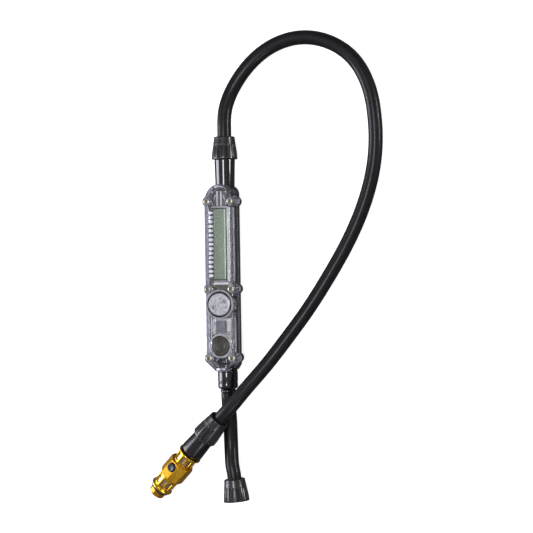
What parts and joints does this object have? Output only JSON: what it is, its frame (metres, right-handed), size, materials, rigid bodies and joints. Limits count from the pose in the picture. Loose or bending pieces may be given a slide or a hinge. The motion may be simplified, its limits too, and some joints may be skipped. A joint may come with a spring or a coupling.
{
  "type": "shock pump pressure gauge and hose",
  "caption": "In-line digital pressure gauge in a clear-fronted housing, with a looped outlet hose to a swivelling valve chuck and a short inlet hose to a ribbed pump coupling nut.",
  "frame": {"origin": "on the resting surface, under the middle of the gauge housing and its air tube", "axes": "+Y up the housing towards the outlet hose, +Z out of the display, so the gauge lies face up on the ground plane"},
  "size_m": [0.1416, 0.2659, 0.0208],
  "materials": {
    "black_plastic": "glossy moulded black with soft streaks of light",
    "black_anodised": "black anodised turned metal, glossy",
    "hose_rubber": "smooth black hose cover, satin",
    "seal_rubber": "matt black seal",
    "clear_cover": "clear glossy polycarbonate with a faint grey cast",
    "screw_steel": "bright stainless steel",
    "pin_steel": "bright tinned metal",
    "contact_brass": "plain brass",
    "board_laminate": "dark green laminate",
    "chip_epoxy": "dull grey moulding",
    "lcd_frame_plastic": "pale reflector",
    "lcd_glass": "grey-green reflective display, blank",
    "cell_steel": "plain coin cell can",
    "cap_metal": "bead-blasted silver",
    "button_rubber": "dark olive-grey satin rubber",
    "washer_plastic": "white slip washer",
    "gold_anodised": "bright gold anodising",
    "orange_anodised": "bright copper-orange anodising",
    "button_plastic": "glossy black button"
  },
  "bodies": {
    "gauge": {"rear_shell": "black_plastic", "front_cover": "clear_cover", "cover_screw_1": "screw_steel", "cover_screw_2": "screw_steel", "cover_screw_3": "screw_steel", "cover_screw_4": "screw_steel", "cover_screw_5": "screw_steel", "cover_screw_6": "screw_steel", "manifold_tube": "black_anodised", "tube_seal_top": "seal_rubber", "tube_seal_bottom": "seal_rubber", "inlet_ferrule": "black_anodised", "circuit_board": "board_laminate", "controller_chip": "chip_epoxy", "sensor_bridge": "chip_epoxy", "button_switch": "chip_epoxy", "lcd_frame": "lcd_frame_plastic", "lcd_glass": "lcd_glass", "lcd_pins": "pin_steel", "coin_cell": "cell_steel", "cell_contact_centre": "contact_brass", "cell_contact_ring": "contact_brass", "pressure_sensor": "pin_steel", "sensor_seal": "seal_rubber", "outlet_hose": "hose_rubber", "outlet_hose_tail": "contact_brass", "inlet_hose": "hose_rubber", "pump_hose_tail": "contact_brass", "pump_seal": "seal_rubber", "chuck_hose_tail": "contact_brass", "chuck_spigot": "black_anodised", "swivel_seal": "seal_rubber", "swivel_clip": "screw_steel"},
    "power_button": {"power_button": "button_rubber"},
    "cap_lift": {"cap_seal": "seal_rubber"},
    "battery_cap": {"battery_cap": "cap_metal"},
    "outlet_nut_travel": {"outlet_nut_washer": "washer_plastic"},
    "outlet_nut": {"outlet_nut": "black_plastic"},
    "chuck_nut_travel": {"chuck_nut_washer": "washer_plastic"},
    "chuck_nut": {"chuck_nut": "black_plastic"},
    "chuck": {"chuck_body": "gold_anodised", "thread_insert": "orange_anodised", "insert_seal": "seal_rubber", "valve_seal": "seal_rubber", "core_pin": "contact_brass", "bleed_spring": "screw_steel"},
    "bleed_button": {"bleed_button": "button_plastic"},
    "pump_nut": {"pump_nut": "black_plastic"}
  },
  "joints": [
    {"name": "power_press", "type": "slide", "parent": "gauge", "child": "power_button", "axis": [0, 0, -1], "range_m": [0, 0.0007], "stiffness_N_per_m": 900},
    {"name": "cap_lift", "type": "slide", "parent": "gauge", "child": "cap_lift", "axis": [0, 0, 1], "range_m": [0, 0.002]},
    {"name": "cap_turn", "type": "hinge", "parent": "cap_lift", "child": "battery_cap", "pos_m": [0, -0.0192, 0.0189], "axis": [0, 0, 1], "range_deg": [0, 720.1]},
    {"name": "outlet_nut_travel", "type": "slide", "parent": "gauge", "child": "outlet_nut_travel", "axis": [0, 1, 0], "range_m": [0, 0.003]},
    {"name": "outlet_nut_turn", "type": "hinge", "parent": "outlet_nut_travel", "child": "outlet_nut", "pos_m": [0, 0.0735, 0.0075], "axis": [0, 1, 0], "range_deg": [0, 1080.1]},
    {"name": "chuck_nut_travel", "type": "slide", "parent": "gauge", "child": "chuck_nut_travel", "axis": [0.6954, 0.7064, 0.1323], "range_m": [0, 0.0005]},
    {"name": "chuck_nut_turn", "type": "hinge", "parent": "chuck_nut_travel", "child": "chuck_nut", "pos_m": [-0.0024, -0.0842, 0.0148], "axis": [0.6954, 0.7064, 0.1323], "range_deg": [0, 180.1]},
    {"name": "chuck_swivel", "type": "hinge", "parent": "gauge", "child": "chuck", "pos_m": [-0.02201, -0.10412, 0.01107], "axis": [-0.6954, -0.7064, -0.1323], "continuous": true},
    {"name": "bleed_press", "type": "slide", "parent": "chuck", "child": "bleed_button", "axis": [0.2389, -0.0537, -0.9696], "range_m": [0, 0.001], "stiffness_N_per_m": 800},
    {"name": "pump_nut_swivel", "type": "hinge", "parent": "gauge", "child": "pump_nut", "pos_m": [0.003, -0.11875, 0.00745], "axis": [0.0924, -0.9957, 0], "continuous": true}
  ],
  "couplings": [
    {"joint": "cap_turn", "follows": "cap_lift", "rad_per_m": 6283.2},
    {"joint": "outlet_nut_turn", "follows": "outlet_nut_travel", "rad_per_m": 6283.2},
    {"joint": "chuck_nut_turn", "follows": "chuck_nut_travel", "rad_per_m": 6283.2}
  ]
}
